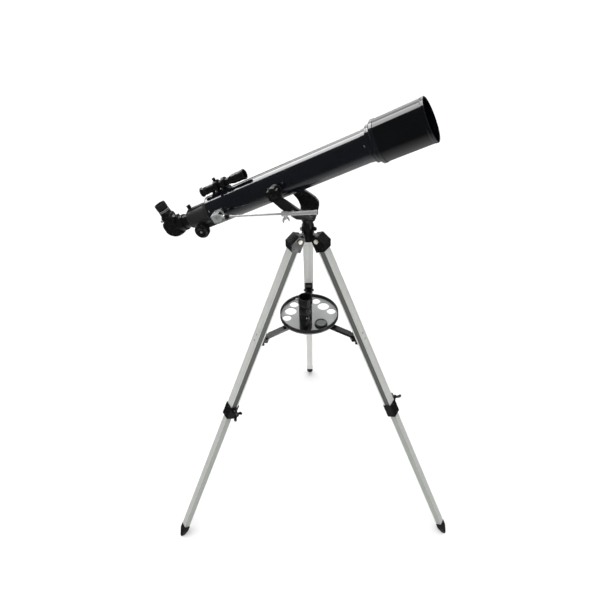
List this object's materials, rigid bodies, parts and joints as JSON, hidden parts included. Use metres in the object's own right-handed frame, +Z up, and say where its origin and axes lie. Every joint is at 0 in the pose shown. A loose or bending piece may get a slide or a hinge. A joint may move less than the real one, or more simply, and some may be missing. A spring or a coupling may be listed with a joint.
{
  "type": "telescope on tripod",
  "caption": "Small black refracting telescope on an alt-azimuth yoke mount and a folding aluminium tripod with an accessory tray.",
  "frame": {"origin": "on the ground, under the azimuth axis", "axes": "+Z up; the tripod's back leg points to +Y; the tube's front end points to +X and a little to -Y"},
  "size_m": [0.8586, 0.7457, 1.3448],
  "materials": {
    "black_casting": "satin",
    "tube_gloss_black": "gloss",
    "leg_aluminium": "satin",
    "black_plastic": "satin",
    "grey_plastic": "satin",
    "tray_plastic": "satin",
    "chrome": "polished",
    "bolt_steel": "zinc plated",
    "lens_glass": "coated",
    "rubber": "matte",
    "rack_brass": "satin"
  },
  "bodies": {
    "tripod_head": {"tripod_head": "black_casting", "leg_hinge_bolts": "bolt_steel"},
    "azimuth_lock": {"azimuth_lock_knob": "black_plastic"},
    "yoke": {"yoke": "black_casting"},
    "altitude_knob_near": {"altitude_knob_near": "black_plastic"},
    "altitude_knob_far": {"altitude_knob_far": "black_plastic"},
    "rod_sleeve": {"rod_sleeve": "chrome"},
    "control_rod": {"control_rod": "chrome"},
    "rod_nut": {"rod_adjust_nut": "black_plastic"},
    "rod_lock": {"rod_lock_screw": "chrome"},
    "tube": {"main_tube": "tube_gloss_black", "lens_cell": "tube_gloss_black", "objective_lenses": "lens_glass", "dew_shield": "tube_gloss_black", "focuser_body": "grey_plastic", "altitude_bosses": "black_plastic", "rod_bracket": "chrome", "finder_tube": "black_plastic", "finder_bracket": "black_plastic", "finder_screws": "black_plastic"},
    "finder_eyepiece": {"finder_eyepiece": "black_plastic"},
    "drawtube": {"drawtube": "black_plastic", "focus_rack": "rack_brass"},
    "focus_pinion": {"pinion_shaft": "bolt_steel", "focus_knobs": "black_plastic"},
    "focus_lock": {"focus_lock_screw": "black_plastic"},
    "diagonal": {"diagonal_body": "black_plastic", "diagonal_prism": "lens_glass", "diagonal_screws": "chrome"},
    "eyepiece": {"eyepiece_body": "black_plastic", "eyecup": "rubber"},
    "leg_left": {"leg_top_left": "black_plastic", "upper_leg_left": "leg_aluminium", "leg_clamp_left": "black_plastic", "brace_bracket_left": "black_plastic"},
    "lower_leg_left": {"lower_leg_left": "leg_aluminium", "foot_left": "rubber"},
    "clamp_screw_left": {"clamp_screw_left": "black_plastic"},
    "brace_arm_left": {"brace_arm_left": "black_plastic"},
    "leg_right": {"leg_top_right": "black_plastic", "upper_leg_right": "leg_aluminium", "leg_clamp_right": "black_plastic", "brace_bracket_right": "black_plastic"},
    "lower_leg_right": {"lower_leg_right": "leg_aluminium", "foot_right": "rubber"},
    "clamp_screw_right": {"clamp_screw_right": "black_plastic"},
    "brace_arm_right": {"brace_arm_right": "black_plastic"},
    "leg_back": {"leg_top_back": "black_plastic", "upper_leg_back": "leg_aluminium", "leg_clamp_back": "black_plastic", "brace_bracket_back": "black_plastic"},
    "lower_leg_back": {"lower_leg_back": "leg_aluminium", "foot_back": "rubber"},
    "clamp_screw_back": {"clamp_screw_back": "black_plastic"},
    "brace_arm_back": {"brace_arm_back": "black_plastic"},
    "brace_hub": {"brace_hub": "black_plastic", "tray": "tray_plastic"},
    "barlow": {"barlow_body": "black_plastic"},
    "barlow_screw": {"barlow_screw": "chrome"},
    "spare_eyepiece": {"spare_eyepiece": "black_plastic"}
  },
  "joints": [
    {"name": "azimuth", "type": "hinge", "parent": "tripod_head", "child": "yoke", "pos_m": [0, 0, 1], "axis": [0, 0, 1], "continuous": true},
    {"name": "azimuth_lock_turn", "type": "hinge", "parent": "tripod_head", "child": "azimuth_lock", "pos_m": [0, 0, 1.0055], "axis": [0.8192, -0.5736, 0], "range_deg": [-180, 180]},
    {"name": "altitude", "type": "hinge", "parent": "yoke", "child": "tube", "pos_m": [-0.06444, 0.01429, 1.122], "axis": [-0.2164, -0.9763, 0], "range_deg": [-25, 35]},
    {"name": "altitude_knob_near_turn", "type": "hinge", "parent": "yoke", "child": "altitude_knob_near", "pos_m": [-0.07634, -0.03941, 1.122], "axis": [-0.2164, -0.9763, 0], "range_deg": [-180, 180]},
    {"name": "altitude_knob_far_turn", "type": "hinge", "parent": "yoke", "child": "altitude_knob_far", "pos_m": [-0.05253, 0.06798, 1.122], "axis": [-0.2164, -0.9763, 0], "range_deg": [-180, 180]},
    {"name": "rod_swivel", "type": "hinge", "parent": "yoke", "child": "rod_sleeve", "pos_m": [-0.03653, -0.04926, 1.0723], "axis": [-0.2164, -0.9763, 0], "range_deg": [-40, 40]},
    {"name": "rod_slide", "type": "slide", "parent": "rod_sleeve", "child": "control_rod", "axis": [0.9647, -0.2139, 0.1536], "range_m": [-0.04, 0.05]},
    {"name": "rod_nut_turn", "type": "hinge", "parent": "control_rod", "child": "rod_nut", "pos_m": [-0.19687, -0.01371, 1.04677], "axis": [0.9647, -0.2139, 0.1536], "continuous": true},
    {"name": "rod_lock_turn", "type": "hinge", "parent": "rod_sleeve", "child": "rod_lock", "pos_m": [-0.05366, -0.04546, 1.06148], "axis": [0.1499, -0.0332, -0.9881], "range_deg": [-180, 180]},
    {"name": "focus", "type": "slide", "parent": "tube", "child": "drawtube", "axis": [-0.8636, 0.1915, -0.4664], "range_m": [-0.007, 0.06]},
    {"name": "focus_knob_turn", "type": "hinge", "parent": "tube", "child": "focus_pinion", "pos_m": [-0.26368, 0.05846, 0.98376], "axis": [0.2164, 0.9763, 0], "range_deg": [-620, 620]},
    {"name": "focus_lock_turn", "type": "hinge", "parent": "tube", "child": "focus_lock", "pos_m": [-0.30436, 0.06747, 1.02634], "axis": [-0.4553, 0.1009, 0.8846], "range_deg": [-180, 180]},
    {"name": "diagonal_turn", "type": "hinge", "parent": "drawtube", "child": "diagonal", "pos_m": [-0.35288, 0.07823, 0.96623], "axis": [0.8636, -0.1915, 0.4664], "range_deg": [-180, 180]},
    {"name": "eyepiece_pull", "type": "slide", "parent": "diagonal", "child": "eyepiece", "axis": [-0.4553, 0.1009, 0.8846], "range_m": [0, 0.03]},
    {"name": "finder_focus", "type": "slide", "parent": "tube", "child": "finder_eyepiece", "axis": [-0.8636, 0.1915, -0.4664], "range_m": [0, 0.006]},
    {"name": "leg_fold_left", "type": "hinge", "parent": "tripod_head", "child": "leg_left", "pos_m": [-0.02858, -0.0165, 0.98], "axis": [0.5, -0.866, 0], "range_deg": [0, 5]},
    {"name": "leg_extend_left", "type": "slide", "parent": "leg_left", "child": "lower_leg_left", "axis": [-0.3654, -0.2109, -0.9067], "range_m": [-0.42, 0]},
    {"name": "clamp_screw_turn_left", "type": "hinge", "parent": "leg_left", "child": "clamp_screw_left", "pos_m": [-0.2117, -0.15917, 0.48587], "axis": [0.5, -0.866, 0], "range_deg": [-180, 180]},
    {"name": "brace_arm_tilt_left", "type": "hinge", "parent": "leg_left", "child": "brace_arm_left", "pos_m": [-0.12012, -0.06935, 0.6983], "axis": [0.5, -0.866, 0], "range_deg": [-5, 40]},
    {"name": "leg_fold_right", "type": "hinge", "parent": "tripod_head", "child": "leg_right", "pos_m": [0.02858, -0.0165, 0.98], "axis": [0.5, 0.866, 0], "range_deg": [0, 5]},
    {"name": "leg_extend_right", "type": "slide", "parent": "leg_right", "child": "lower_leg_right", "axis": [0.3654, -0.2109, -0.9067], "range_m": [-0.42, 0]},
    {"name": "clamp_screw_turn_right", "type": "hinge", "parent": "leg_right", "child": "clamp_screw_right", "pos_m": [0.2437, -0.10375, 0.48587], "axis": [0.5, 0.866, 0], "range_deg": [-180, 180]},
    {"name": "brace_arm_tilt_right", "type": "hinge", "parent": "leg_right", "child": "brace_arm_right", "pos_m": [0.12012, -0.06935, 0.6983], "axis": [0.5, 0.866, 0], "range_deg": [-5, 40]},
    {"name": "leg_fold_back", "type": "hinge", "parent": "tripod_head", "child": "leg_back", "pos_m": [0, 0.033, 0.98], "axis": [-1, 0, 0], "range_deg": [0, 5]},
    {"name": "leg_extend_back", "type": "slide", "parent": "leg_back", "child": "lower_leg_back", "axis": [0, 0.4219, -0.9067], "range_m": [-0.42, 0]},
    {"name": "clamp_screw_turn_back", "type": "hinge", "parent": "leg_back", "child": "clamp_screw_back", "pos_m": [-0.032, 0.26292, 0.48587], "axis": [-1, 0, 0], "range_deg": [-180, 180]},
    {"name": "brace_arm_tilt_back", "type": "hinge", "parent": "leg_back", "child": "brace_arm_back", "pos_m": [0, 0.13871, 0.6983], "axis": [-1, 0, 0], "range_deg": [-5, 40]},
    {"name": "brace_lift", "type": "slide", "parent": "tripod_head", "child": "brace_hub", "axis": [0, 0, 1], "range_m": [0, 0.06]},
    {"name": "barlow_lift", "type": "slide", "parent": "brace_hub", "child": "barlow", "axis": [0, 0, 1], "range_m": [0, 0.12]},
    {"name": "barlow_screw_turn", "type": "hinge", "parent": "barlow", "child": "barlow_screw", "pos_m": [-0.0299, -0.05613, 0.817], "axis": [-1, 0, 0], "range_deg": [-180, 180]},
    {"name": "spare_eyepiece_lift", "type": "slide", "parent": "brace_hub", "child": "spare_eyepiece", "axis": [0, 0, 1], "range_m": [0, 0.06]}
  ],
  "couplings": [
    {"joint": "rod_swivel", "follows": "altitude", "ratio": 0.846},
    {"joint": "rod_slide", "follows": "altitude", "m_per_rad": 0.05606},
    {"joint": "focus_knob_turn", "follows": "focus", "rad_per_m": -166.67},
    {"joint": "brace_arm_tilt_left", "follows": "leg_fold_left", "ratio": 6},
    {"joint": "leg_fold_right", "follows": "leg_fold_left", "ratio": 1},
    {"joint": "brace_arm_tilt_right", "follows": "leg_fold_left", "ratio": 6},
    {"joint": "leg_fold_back", "follows": "leg_fold_left", "ratio": 1},
    {"joint": "brace_arm_tilt_back", "follows": "leg_fold_left", "ratio": 6},
    {"joint": "brace_lift", "follows": "leg_fold_left", "m_per_rad": 0.63828}
  ]
}
